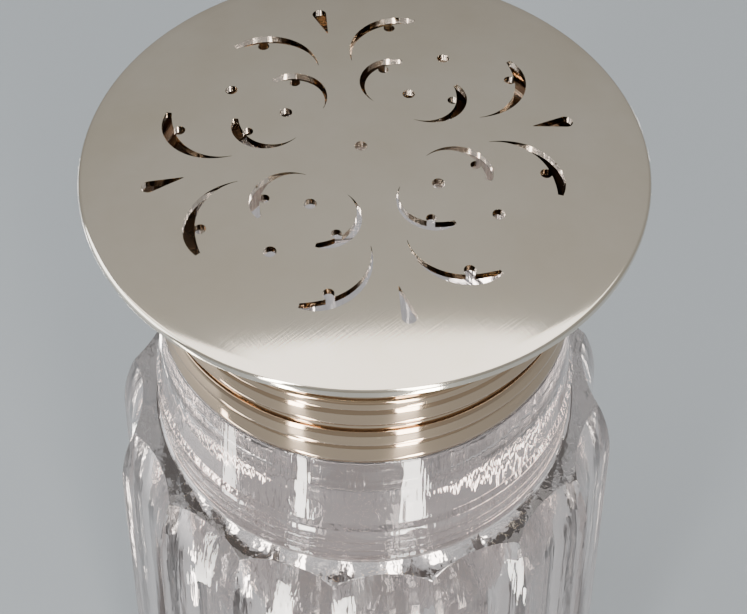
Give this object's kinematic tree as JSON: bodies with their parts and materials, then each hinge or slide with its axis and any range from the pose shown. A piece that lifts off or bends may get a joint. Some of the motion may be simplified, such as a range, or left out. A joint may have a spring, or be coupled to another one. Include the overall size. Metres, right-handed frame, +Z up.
{
  "type": "sugar caster",
  "caption": "Fluted cut-glass sugar caster with a stepped neck band, a silver neck ferrule and a pull-off silver lid with a round, slightly domed plate pierced with scrolls.",
  "frame": {"origin": "centre of the jar's base, on the surface that it stands on", "axes": "+Z up the jar's axis, through the middle of the lid; -Y is the front"},
  "size_m": [0.0778, 0.0778, 0.1379],
  "materials": {
    "cut_glass": "clear polished lead crystal",
    "silver_plate": "hand-polished sheet silver with fine rubbing marks",
    "silver_mouldings": "turned and burnished silver",
    "silver_inside": "unpolished silver",
    "plaster": "matt gypsum cement"
  },
  "bodies": {
    "jar": {"glass_jar": "cut_glass", "neck_plaster": "plaster", "neck_ferrule": "silver_inside", "ferrule_foot_ring": "silver_mouldings"},
    "lid": {"lid_plate": "silver_plate", "lid_skirt": "silver_mouldings", "lid_bezel": "silver_inside", "skirt_foot_ring": "silver_mouldings", "skirt_band": "silver_mouldings"}
  },
  "joints": [
    {"name": "lid_lift", "type": "slide", "parent": "jar", "child": "lid", "axis": [0, 0, 1], "range_m": [0, 0.06]}
  ]
}
